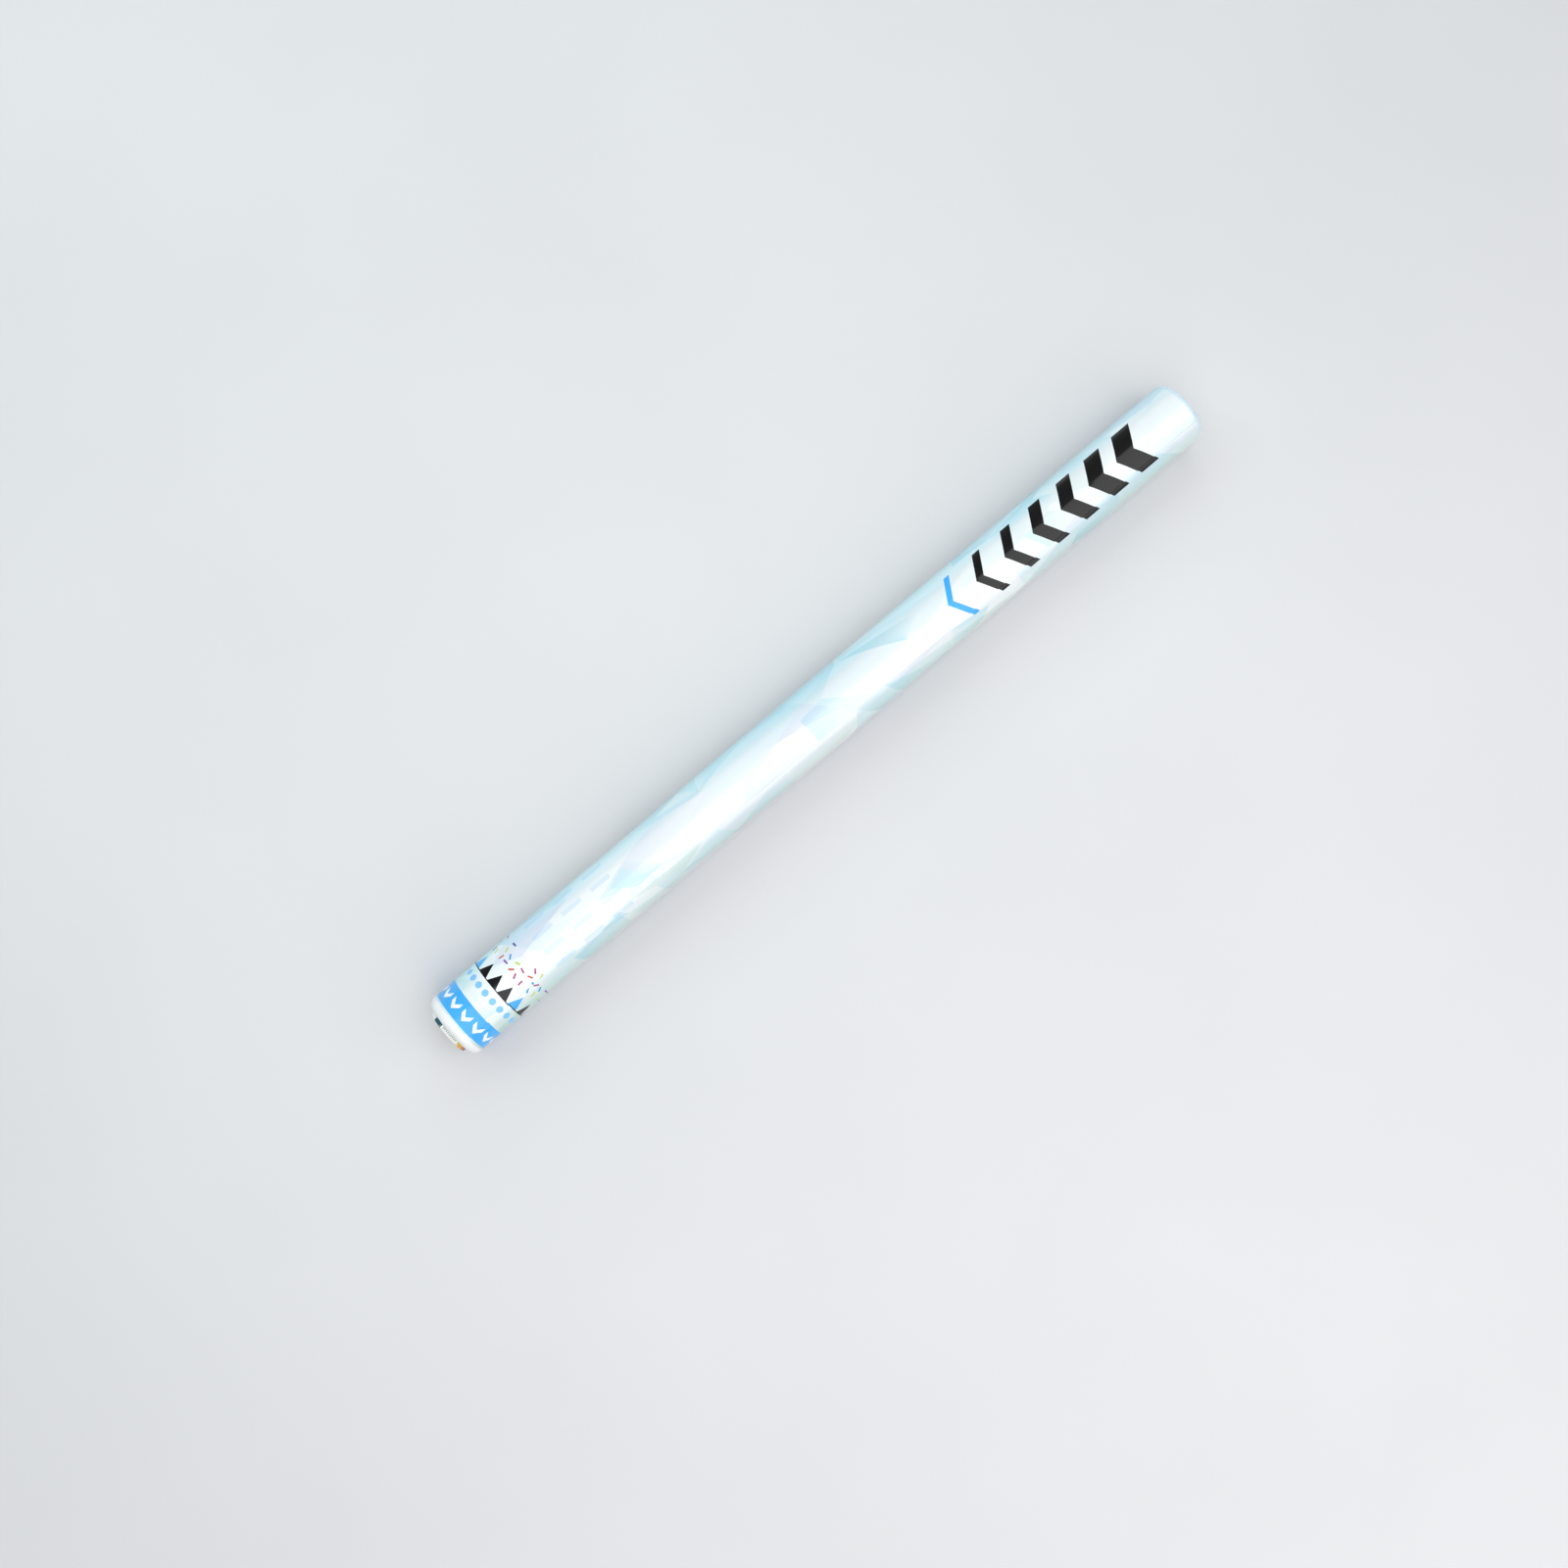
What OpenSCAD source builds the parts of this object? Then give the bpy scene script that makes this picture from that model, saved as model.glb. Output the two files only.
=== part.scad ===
// Confetti flick stick: a paper tube in a lapped film wrap, closed by a moulded plug at each end and
// packed with stacks of tissue slips. The plug at the mouth pulls out, and the load slides in the bore.
// The stick lies along X with its mouth towards +X. The origin is on the surface under its middle.

/* [Paper tube] */
// Cut length of the paper tube
tube_length = 350; // [240:0.2:420]
// Outside diameter of the bare paper tube
tube_diameter = 25.1; // [23:0.1:32]
// Wall of the paper tube
tube_wall = 1.1; // [0.7:0.05:1.6]

/* [Film wrap] */
// Thickness of the printed film
film_thickness = 0.13; // [0.08:0.01:0.25]
// Width of the strip where the film laps over itself
film_lap = 8; // [4:0.5:14]
// Angle from the top line of the stick to the film's free edge
film_edge_angle = 32; // [15:1:90]
// Thickness of the glue between the tube and the film
glue_line = 0.02; // [0.01:0.01:0.05]

/* [End plugs] */
// Straight land left on a flange next to the tube
flange_land = 0.2; // [0.1:0.05:0.6]
// Depth of a plug's skirt inside the bore
skirt_depth = 10; // [8:0.5:14]
// Wall of the skirt at its tip
skirt_wall = 1.4; // [1:0.1:2.2]
// Gap between the root of the skirt and the bore
skirt_gap = 0.45; // [0.3:0.05:0.8]
// How much the skirt's radius narrows towards its tip
skirt_draft = 0.35; // [0.1:0.05:0.6]
// Gap between the grip fins and the bore
fin_clearance = 0.05; // [0.02:0.01:0.1]
// Height of one grip fin along the skirt
fin_height = 1.4; // [0.8:0.1:2]
// Number of grip fins on the skirt
fin_count = 3; // [1:1:4]
// Thickness of the moulded end wall
end_wall = 1.5; // [1.2:0.1:1.8]
// Thickness of the webs inside the skirt
web_thickness = 0.9; // [0.6:0.1:1.4]
// How far the webs stop short of the skirt's tip
web_setback = 3; // [1:0.5:5]

/* [Base plug] */
// Height of the base plug's flange outside the tube
base_flange_height = 2.2; // [1.8:0.1:4]
// Radius of that flange's rounded edge
base_flange_round = 2; // [0.5:0.1:3]
// Diameter of the shallow dish in the base plug's end face
dish_diameter = 13; // [8:0.5:17]
// Depth of that dish
dish_depth = 0.5; // [0.2:0.05:0.8]

/* [Closure plug] */
// Height of the closure plug's flange outside the tube
mouth_flange_height = 3.8; // [2.4:0.1:5]
// Radius of that flange's rounded edge
mouth_flange_round = 2.8; // [0.5:0.1:3]
// Diameter of the head that stands out of the flange
head_diameter = 17.4; // [16:0.2:22]
// Height of that head above the flange
head_height = 1.6; // [1:0.1:4]
// Wall round the hollow of the head
head_wall = 1.8; // [1.4:0.1:3]
// Radius of the head's top edge
head_round = 0.5; // [0.2:0.05:0.6]

/* [Seal] */
// Thickness of the printed seal on the head
seal_thickness = 0.12; // [0.08:0.01:0.25]
// Width of the strip of the head that the seal leaves bare
seal_reveal = 0.2; // [0.05:0.05:0.3]

/* [Confetti] */
// Length of a tissue slip
slip_length = 50; // [30:1:60]
// Width of a tissue slip
slip_width = 19; // [12:0.5:20]
// Number of sheaves in one stack
sheaf_count = 4; // [2:1:5]
// Gap between two sheaves of a stack
sheaf_gap = 0.1; // [0.05:0.01:0.2]
// How far a sheaf may lie out of line
sheaf_shift = 0.3; // [0:0.05:0.5]
// Gap between two stacks
stack_gap = 0.8; // [0.7:0.05:2]
// Gap between the stacks' corners and the bore
load_clearance = 0.25; // [0.15:0.05:0.5]
// Least free length left in front of the load
least_headspace = 20; // [5:1:40]

/* [Hidden] */
$fn = 96;
over = 1;  // how far a cut runs past the face it opens
tube_r = tube_diameter / 2;
bore_r = tube_r - tube_wall;
film_r = tube_r + glue_line;
stick_r = film_r + film_thickness;
lap_angle = film_lap / stick_r * 180 / PI;

skirt_r = bore_r - skirt_gap;
skirt_tip_r = skirt_r - skirt_draft;
fin_r = bore_r - fin_clearance;
fin_pitch = skirt_depth / (fin_count + 1);
cavity_r = skirt_tip_r - skirt_wall;
base_edge = min(base_flange_round, base_flange_height - flange_land);
mouth_edge = min(mouth_flange_round, mouth_flange_height - flange_land);
head_r = head_diameter / 2;
hollow_r = min(cavity_r, head_r - head_wall);
seal_fold = head_height - seal_reveal;

mouth_x = base_flange_height + tube_length;
stick_length = mouth_x + mouth_flange_height + head_height + seal_thickness;

load_length = tube_length - 2 * skirt_depth;
stack_pitch = slip_length + stack_gap;
stack_count = floor((load_length - least_headspace) / stack_pitch);
stack_half = sqrt(pow(bore_r - load_clearance, 2) - pow(slip_width / 2 + sheaf_shift, 2));
sheaf_pitch = (2 * stack_half + sheaf_gap) / sheaf_count;
sheaf_thickness = sheaf_pitch - sheaf_gap;

function sheaf_name(stack, layer) = str("confetti_stack_", stack, "_sheaf_", layer);
sheaf_names = [for (stack = [1:stack_count], layer = [1:sheaf_count]) sheaf_name(stack, layer)];

// Lays a piece that is drawn upright on its side: up becomes +X, and the stick rests on the surface.
module lay() {
    translate([-stick_length / 2, 0, stick_r]) rotate([0, 90, 0]) children();
}

// Half section of a disc whose top edge is rounded.
module rounded_disc_section(radius, height, round) {
    intersection() {
        union() {
            square([radius - round, height]);
            square([radius, height - round]);
            translate([radius - round, height - round]) circle(round);
        }
        square([radius, height]);
    }
}

module rounded_disc(radius, height, round) {
    rotate_extrude() rounded_disc_section(radius, height, round);
}

// Ring-shaped barb that grips the bore: it leads in with a slope and ends in a step.
module grip_fin() {
    cylinder(h = fin_height, r1 = skirt_tip_r, r2 = fin_r);
}

// Two crossed webs that keep the skirt round.
module crossed_webs(crown) {
    for (turn = [0, 90])
        rotate([0, 0, turn])
            translate([-cavity_r - over, -web_thickness / 2, web_setback - skirt_depth])
                cube([2 * (cavity_r + over), web_thickness, skirt_depth + crown]);
}

// Room that the plug's core leaves inside the skirt, and in the hollow of a head where there is one.
module core(flange, head) {
    difference() {
        union() {
            translate([0, 0, -skirt_depth - over])
                cylinder(h = skirt_depth + over + flange - end_wall, r = cavity_r);
            if (head > 0)
                cylinder(h = flange + head - end_wall, r = hollow_r);
        }
        crossed_webs(flange + head);
    }
}

// Push-in plug, seated at z = 0 on the tube's rim: the flange and head are above, the finned skirt below.
module plug(flange, edge, head) {
    difference() {
        union() {
            rounded_disc(stick_r, flange, edge);
            if (head > 0)
                rounded_disc(head_r, flange + head, head_round);
            translate([0, 0, -skirt_depth]) cylinder(h = skirt_depth, r1 = skirt_tip_r, r2 = skirt_r);
            for (fin = [1:fin_count])
                translate([0, 0, -fin * fin_pitch - fin_height / 2]) grip_fin();
        }
        core(flange, head);
    }
}

module paper_tube() {
    color("tan") lay() translate([0, 0, base_flange_height])
        difference() {
            cylinder(h = tube_length, r = tube_r);
            translate([0, 0, -over]) cylinder(h = tube_length + 2 * over, r = bore_r);
        }
}

// Wedge that holds the film's lap, from its free edge down the front of the stick.
module lap_wedge() {
    reach = 2 * stick_r;
    edge = 180 - film_edge_angle;
    polygon([
        [0, 0],
        reach * [cos(edge - lap_angle), sin(edge - lap_angle)],
        reach * [cos(edge), sin(edge)]
    ]);
}

// Printed film round the tube. Its free edge laps over its first edge, on the upper front of the stick.
module film_wrap() {
    color("lightcyan") lay() translate([0, 0, base_flange_height])
        linear_extrude(height = tube_length)
            difference() {
                union() {
                    circle(stick_r);
                    intersection() {
                        circle(stick_r + film_thickness);
                        lap_wedge();
                    }
                }
                circle(film_r);
            }
}

// Plug that closes the base for good.
module base_plug() {
    color("whitesmoke") lay() translate([0, 0, base_flange_height]) rotate([180, 0, 0])
        difference() {
            plug(base_flange_height, base_edge, 0);
            translate([0, 0, base_flange_height - dish_depth])
                cylinder(h = dish_depth + over, d = dish_diameter);
        }
}

// Plug that is pulled out of the mouth by its flange and head.
module closure_plug() {
    color("white") lay() translate([0, 0, mouth_x])
        plug(mouth_flange_height, mouth_edge, head_height);
}

// Printed seal glued over the head, with its rim folded down the head's side.
module closure_seal() {
    color("gold") lay() translate([0, 0, mouth_x + mouth_flange_height + head_height])
        difference() {
            translate([0, 0, -seal_fold])
                rounded_disc(head_r + seal_thickness, seal_fold + seal_thickness, head_round + seal_thickness);
            translate([0, 0, -seal_fold - over])
                rounded_disc(head_r, seal_fold + over, head_round);
        }
}

// One sheaf of tissue slips, a little out of line with its neighbours.
module confetti_sheaf(stack, layer) {
    shift = rands(-sheaf_shift, sheaf_shift, 2, stack * sheaf_count + layer);
    start = base_flange_height + skirt_depth + stack_gap / 2 + (stack - 1) * stack_pitch;
    color("rebeccapurple") translate([start + shift[0] - stick_length / 2,
            shift[1] - slip_width / 2,
            stick_r - stack_half + (layer - 1) * sheaf_pitch])
        cube([slip_length, slip_width, sheaf_thickness]);
}

paper_tube();
film_wrap();
base_plug();
closure_plug();
closure_seal();
for (stack = [1:stack_count], layer = [1:sheaf_count])
    confetti_sheaf(stack, layer);
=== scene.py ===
import math
from functools import reduce

import bmesh
import bpy
from mathutils import Matrix, Vector, noise


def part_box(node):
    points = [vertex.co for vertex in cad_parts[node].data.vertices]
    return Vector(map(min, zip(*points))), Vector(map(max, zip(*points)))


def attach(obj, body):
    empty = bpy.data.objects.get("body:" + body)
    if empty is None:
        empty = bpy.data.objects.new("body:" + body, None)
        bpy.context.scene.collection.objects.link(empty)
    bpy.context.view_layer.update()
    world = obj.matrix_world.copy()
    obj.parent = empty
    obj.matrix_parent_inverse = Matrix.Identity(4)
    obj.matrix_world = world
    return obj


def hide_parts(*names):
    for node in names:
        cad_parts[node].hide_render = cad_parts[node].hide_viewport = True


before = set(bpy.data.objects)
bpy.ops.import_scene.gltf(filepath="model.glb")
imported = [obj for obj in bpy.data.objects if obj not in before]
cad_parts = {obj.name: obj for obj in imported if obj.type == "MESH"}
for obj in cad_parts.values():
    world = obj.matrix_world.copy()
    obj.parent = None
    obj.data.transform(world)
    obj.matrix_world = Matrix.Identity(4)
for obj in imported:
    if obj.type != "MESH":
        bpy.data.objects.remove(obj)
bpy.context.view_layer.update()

# main sizes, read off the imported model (metres)
tubeLow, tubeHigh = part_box("paper_tube")
filmLow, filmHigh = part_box("film_wrap")
baseLow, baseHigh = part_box("base_plug")
closureLow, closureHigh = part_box("closure_plug")
sealLow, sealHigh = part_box("closure_seal")
axisZ = (tubeLow.z + tubeHigh.z) / 2
tubeRadius = (tubeHigh.z - tubeLow.z) / 2
stickRadius = axisZ - filmLow.z
mm = 0.001
girth = 2 * math.pi * stickRadius / mm  # way round the stick, in mm
print("frame loaded:", len(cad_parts), "nodes")


# mesh tools

def onStick(x, radius, angle):  # angle runs from the top line towards +Y
    return Vector((x, radius * math.sin(angle), axisZ + radius * math.cos(angle)))


def arc(centre, radius, start, end, count):  # points (x, radius) of a profile's round
    turns = [math.radians(start + (end - start) * i / count) for i in range(count + 1)]
    return [(centre[0] + radius * math.cos(turn), centre[1] + radius * math.sin(turn)) for turn in turns]


def lathe(build, profile, segments, closed=False):  # turns (x, radius) points about the stick's axis
    turns = [2 * math.pi * i / segments for i in range(segments)]
    rings = []
    for x, radius in profile:
        if radius < 1e-7:  # one point on the axis
            rings.append([build.verts.new(onStick(x, 0, 0))] * segments)
        else:
            rings.append([build.verts.new(onStick(x, radius, turn)) for turn in turns])
    following = rings[1:] + rings[:1] if closed else rings[1:]
    for first, second in zip(rings, following):
        for i in range(segments):
            j = (i + 1) % segments
            corners = list(dict.fromkeys([first[i], first[j], second[j], second[i]]))
            if len(corners) > 2:
                build.faces.new(corners)


def meshFrom(build, name):
    bmesh.ops.recalc_face_normals(build, faces=build.faces)
    mesh = bpy.data.meshes.new(name)
    build.to_mesh(mesh)
    build.free()
    return mesh


def newObject(name, data):
    made = bpy.data.objects.new(name, data)
    bpy.context.scene.collection.objects.link(made)
    return made


def finishPiece(name, mesh, material, body, node, crease=38):
    mesh.shade_smooth()
    mesh.set_sharp_from_angle(angle=math.radians(crease))
    mesh.materials.clear()
    mesh.materials.append(material)
    piece = newObject(name, mesh)
    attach(piece, body)
    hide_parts(node)


# node tools

def nodeIn(tree, kind, inputs=None, **settings):
    node = tree.nodes.new(kind)
    for key, value in settings.items():
        setattr(node, key, value)
    for key, value in (inputs or {}).items():
        if isinstance(value, bpy.types.NodeSocket):
            tree.links.new(value, node.inputs[key])
        else:
            node.inputs[key].default_value = value
    return node


def calc(tree, operation, *values):
    return nodeIn(tree, "ShaderNodeMath", dict(enumerate(values)), operation=operation).outputs[0]


def vectorCalc(tree, operation, *values):
    node = nodeIn(tree, "ShaderNodeVectorMath", dict(enumerate(values)), operation=operation)
    return node.outputs["Value" if operation in ("DOT_PRODUCT", "LENGTH") else "Vector"]


def parts(tree, vector):  # its x, y and z
    return nodeIn(tree, "ShaderNodeSeparateXYZ", {0: vector}).outputs


def colourParts(tree, colour):  # its red, green and blue
    return nodeIn(tree, "ShaderNodeSeparateColor", {0: colour}).outputs


def joined(tree, x=0, y=0, z=0):
    return nodeIn(tree, "ShaderNodeCombineXYZ", {0: x, 1: y, 2: z}).outputs[0]


def less(tree, value, limit):
    return calc(tree, "LESS_THAN", value, limit)


def more(tree, value, limit):
    return calc(tree, "GREATER_THAN", value, limit)


def within(tree, value, low, high):  # 1 between low and high
    return calc(tree, "MULTIPLY", more(tree, value, low), less(tree, value, high))


def allOf(tree, *masks):
    return reduce(lambda first, second: calc(tree, "MULTIPLY", first, second), masks)


def anyOf(tree, *masks):
    return reduce(lambda first, second: calc(tree, "MAXIMUM", first, second), masks)


def mapped(tree, value, given, wanted):  # from one range to another, held inside it
    return nodeIn(tree, "ShaderNodeMapRange", dict(enumerate((value, *given, *wanted)))).outputs[0]


def paint(tree, under, colour, mask, blend="MIX"):
    inputs = {0: mask, 6: under, 7: colour}
    return nodeIn(tree, "ShaderNodeMix", inputs, data_type="RGBA", blend_type=blend).outputs[2]


def steps(tree, value, stops, blend="CONSTANT"):  # colour ramp from (place, colour) stops
    node = nodeIn(tree, "ShaderNodeValToRGB", {0: value})
    ramp = node.color_ramp
    ramp.interpolation = blend
    while len(ramp.elements) < len(stops):
        ramp.elements.new(0.5)
    for element, (place, colour) in zip(ramp.elements, stops):
        element.position = place
        element.color = colour
    return node.outputs[0]


def named(look, key):  # stops whose colours are given by name
    return [(place, look[name]) for place, name in look[key]]


def objectPlace(tree):
    return nodeIn(tree, "ShaderNodeTexCoord").outputs["Object"]


def cells(tree, place, scale, randomness):  # flat pattern of cells
    inputs = {"Vector": place, "Scale": scale, "Randomness": randomness}
    return nodeIn(tree, "ShaderNodeTexVoronoi", inputs, voronoi_dimensions="2D").outputs


def grain(tree, place, scale, detail, roughness=0.5):
    inputs = {"Vector": place, "Scale": scale, "Detail": detail, "Roughness": roughness}
    return nodeIn(tree, "ShaderNodeTexNoise", inputs).outputs[0]


def bumped(tree, height, strength, distance):
    inputs = {"Height": height, "Strength": strength, "Distance": distance}
    return nodeIn(tree, "ShaderNodeBump", inputs).outputs[0]


def newMaterial(name, surface):  # surface holds the shader's constant values
    material = bpy.data.materials.new(name)
    material.use_nodes = True
    shader = material.node_tree.nodes["Principled BSDF"]
    for key, value in surface.items():
        shader.inputs[key].default_value = value
    return material, material.node_tree, shader


def feed(tree, shader, links):
    for key, socket in links.items():
        tree.links.new(socket, shader.inputs[key])


def flat(red, green, blue):  # screen colour 0 to 255, as a linear colour
    def linear(v):
        v /= 255
        return v / 12.92 if v <= 0.04045 else ((v + 0.055) / 1.055) ** 2.4
    return (linear(red), linear(green), linear(blue), 1)


# printed film

filmWrap = {  # angles in degrees
    "lap": 8 * mm, "edgeAngle": 32, "thickness": 0.13 * mm, "ramp": 4, "gap": 0.01 * mm, "skew": 0.3,
    "lift": 0.05 * mm, "liftTurn": 5, "liftWaves": 60, "liftSeed": (0.3, 0.7),
    "aroundSteps": 264, "alongSteps": 70,
}

filmPrint = {  # places in mm: along = from the mouth, around = from the top line
    "surface": {"Roughness": 0.33, "Specular IOR Level": 0.25,
                "Coat Weight": 0.75, "Coat Roughness": 0.07, "Coat IOR": 1.5},
    "pearlMetal": 0.1,
    "white": flat(246, 250, 252), "silver": flat(226, 236, 239), "mint": flat(212, 228, 223),
    # the deepest teal is painted shade: the -Y side darkened near its edge, where it turns from the light
    "paleTeal": flat(222, 246, 253), "teal": flat(203, 237, 245), "paintedShadeTeal": flat(185, 226, 236),
    "rose": flat(227, 221, 227),
    # painted light round the stick, as the lit film looks from above: partly the film's own pearly tint,
    # partly painted sheen in the teal, silver, mint and rose, with painted shade deepening the teal towards
    # the -Y edge
    "pearl": (  # share of the way round, from the line under the stick
        (0, "silver"), (0.08, "rose"), (0.15, "white"), (0.21, "paleTeal"), (0.25, "teal"),
        (0.28, "paintedShadeTeal"), (0.315, "teal"), (0.365, "paleTeal"), (0.415, "white"), (0.588, "white"),
        (0.63, "silver"), (0.67, "mint"), (0.74, "rose"), (0.86, "paleTeal"), (1, "silver")),

    "shardCyan": flat(200, 235, 244), "shardLilac": flat(224, 227, 246), "shardMint": flat(214, 240, 230),
    "shardTints": ((0, "shardCyan"), (0.66, "shardLilac"), (0.8, "shardMint")),
    "shardLines": (  # turn, mm apart, fan, shift
        (13, 17, 0.0012, 20.7), (-19, 21, 0.0007, 13.1), (58, 36, 0.001, 9.9)),
    "shardJitter": 0.85, "shardGrade": 1.3, "shardRange": (0.2, 1.1), "shardDepth": 0.42,
    # painted highlight: facets low in tone are whitened, as if tilted into the key light's reflection
    "paintedHighlightRange": (-0.2, 0.3), "paintedHighlightStrength": 0.6, "shardTilt": 0.12,

    "fanTints": ((0, "shardCyan"), (0.7, "shardLilac"), (0.84, "shardMint")),
    "fanCell": (52, 21), "fanShift": (0.3, 0.15, 0), "fanJitter": 0.7, "fanWedges": 5, "fanSeeds": 90,
    "fanRange": (0.3, 0.9), "fanDepth": 0.72, "fanFade": 0.15, "fanLean": 0.5,

    "bandBlue": flat(66, 176, 250), "paleBlue": flat(132, 200, 250), "ink": (0.002, 0.002, 0.0025, 1),
    "dashes": (39.9, 79.8), "dashPitch": (13.3, 6.65), "dashSize": (8.6, 1.8), "dashReach": 13.3,
    "dashStrength": 0.24,
    "scatter": (25.5, 36.6), "scatterCell": 3.3, "scatterJitter": 0.35, "scatterChance": (1, 0.25),
    "fleck": (1.05, 0.34),  # half its length and width
    "fleckColours": (
        (0, flat(30, 150, 220)), (0.2, flat(176, 60, 120)), (0.36, flat(70, 84, 150)),
        (0.5, flat(200, 214, 90)), (0.64, flat(60, 160, 196)), (0.8, flat(206, 92, 62)),
        (0.9, flat(120, 74, 170))),
    "bunting": (18.2, 18.6, 23.8),  # line, pennants' top and tip
    "pennants": 14, "pennantHalf": 2.4, "bluePennant": 4,
    "dotRing": 15.1, "dots": 20, "dotSize": 1.3,
    "band": (0.8, 8.95), "bandMarks": 13, "markPlace": 2.5, "markReach": 2.2, "markStroke": 1.9,
    "chevrons": (232.4, 7, 13.9),  # start, count, pitch
    "chevronHalf": 9.6, "chevronMiddle": -0.6, "chevronSlope": 0.62, "chevronStroke": (2.6, 8.6),
}


def iceFacets(tree, place, colour):  # long straight lines cut the sheet into facets, each graded its own way; facets low in tone are whitened as a painted highlight
    look = filmPrint
    hashes, signs = [], []
    for direction, spacing, fan, shift in look["shardLines"]:
        turn = math.radians(direction)
        run = vectorCalc(tree, "DOT_PRODUCT", place, (math.cos(turn), math.sin(turn), 0))
        rise = vectorCalc(tree, "DOT_PRODUCT", place, (-math.sin(turn), math.cos(turn), 0))
        apart = calc(tree, "MULTIPLY_ADD", run, fan * spacing, spacing)
        row = calc(tree, "ADD", calc(tree, "DIVIDE", rise, apart), shift)
        inputs = {"W": row, "Scale": 1, "Randomness": look["shardJitter"]}
        strip = nodeIn(tree, "ShaderNodeTexVoronoi", inputs, voronoi_dimensions="1D").outputs
        hashes.append(strip["Color"])
        signs.append(calc(tree, "SUBTRACT", row, strip["W"]))
    mixed = reduce(lambda first, second: vectorCalc(tree, "ADD", first, second), hashes)
    facetHash = vectorCalc(tree, "FRACTION", mixed)
    pick = parts(tree, facetHash)
    lean = vectorCalc(tree, "SUBTRACT", facetHash, (0.5, 0.5, 0.5))
    slope = vectorCalc(tree, "DOT_PRODUCT", lean, joined(tree, *signs))
    tone = calc(tree, "MULTIPLY_ADD", slope, look["shardGrade"], pick[0])
    # painted highlight: whiten the facets low in tone, as if they caught the key light's reflection
    paintedHighlight = mapped(tree, tone, look["paintedHighlightRange"], (look["paintedHighlightStrength"], 0))
    depth = mapped(tree, tone, look["shardRange"], (0, look["shardDepth"]))
    colour = paint(tree, colour, look["white"], paintedHighlight)
    tint = steps(tree, pick[2], named(look, "shardTints"))
    return paint(tree, colour, tint, depth, "MULTIPLY"), lean


def iceFans(tree, place, colour, lean):  # wedges that meet in a point, each strongest along one edge
    look = filmPrint
    shares = [1 / side for side in look["fanCell"]] + [0]
    grid = vectorCalc(tree, "MULTIPLY_ADD", place, shares, look["fanShift"])
    fans = cells(tree, grid, 1, look["fanJitter"])
    right, up = parts(tree, vectorCalc(tree, "SUBTRACT", grid, fans["Position"]))[:2]
    fanHash = colourParts(tree, fans["Color"])
    swing = calc(tree, "DIVIDE", calc(tree, "ARCTAN2", up, right), 2 * math.pi)
    wedge = calc(tree, "MULTIPLY", calc(tree, "ADD", swing, fanHash[0]), look["fanWedges"])
    number = calc(tree, "FLOORED_MODULO", calc(tree, "FLOOR", wedge), look["fanWedges"])
    seed = joined(tree, calc(tree, "MULTIPLY", fanHash[1], look["fanSeeds"]), number)
    draw = nodeIn(tree, "ShaderNodeTexWhiteNoise", {"Vector": seed}, noise_dimensions="2D").outputs
    strength = mapped(tree, draw["Value"], look["fanRange"], (0, look["fanDepth"]))
    edgeShare = mapped(tree, calc(tree, "FRACT", wedge), (0, 1), (1, look["fanFade"]))
    tint = steps(tree, colourParts(tree, draw["Color"])[1], named(look, "fanTints"))
    colour = paint(tree, colour, tint, calc(tree, "MULTIPLY", strength, edgeShare), "MULTIPLY")
    fanLean = vectorCalc(tree, "SUBTRACT", draw["Color"], (0.5, 0.5, 0.5))
    return colour, vectorCalc(tree, "MULTIPLY_ADD", fanLean, (look["fanLean"],) * 3, lean)


def fromMiddle(tree, underWay, count):  # mm from the middle of each of count equal shares round the stick
    pitch = girth / count
    return calc(tree, "SUBTRACT", calc(tree, "FLOORED_MODULO", underWay, pitch), pitch / 2)


def faintDashes(tree, along, around, underWay, colour):  # in rows down the stick
    look = filmPrint
    pitchAlong, pitchAround = look["dashPitch"]
    length, width = look["dashSize"]
    dash = allOf(tree, within(tree, along, *look["dashes"]),
                 less(tree, calc(tree, "FLOORED_MODULO", along, pitchAlong), length),
                 less(tree, calc(tree, "FLOORED_MODULO", underWay, pitchAround), width),
                 less(tree, calc(tree, "ABSOLUTE", around), look["dashReach"]))
    return paint(tree, colour, look["paleBlue"], calc(tree, "MULTIPLY", dash, look["dashStrength"]))


def paperFlecks(tree, place, colour):  # scattered, each turned its own way
    look = filmPrint
    spots = cells(tree, place, 1 / look["scatterCell"], look["scatterJitter"])
    offset = vectorCalc(tree, "SUBTRACT", place, spots["Position"])
    chance = colourParts(tree, spots["Color"])
    inputs = {"Vector": offset, "Angle": calc(tree, "MULTIPLY", chance[1], math.pi)}
    turned = nodeIn(tree, "ShaderNodeVectorRotate", inputs, rotation_type="Z_AXIS").outputs[0]
    onLength, onWidth = parts(tree, turned)[:2]
    middle = parts(tree, spots["Position"])[0]
    halfLength, halfWidth = look["fleck"]
    fleck = allOf(tree, within(tree, middle, *look["scatter"]),
                  less(tree, calc(tree, "ABSOLUTE", onLength), halfLength),
                  less(tree, calc(tree, "ABSOLUTE", onWidth), halfWidth),
                  less(tree, chance[2], mapped(tree, middle, look["scatter"], look["scatterChance"])))
    return paint(tree, colour, steps(tree, chance[0], look["fleckColours"]), fleck), fleck


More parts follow.
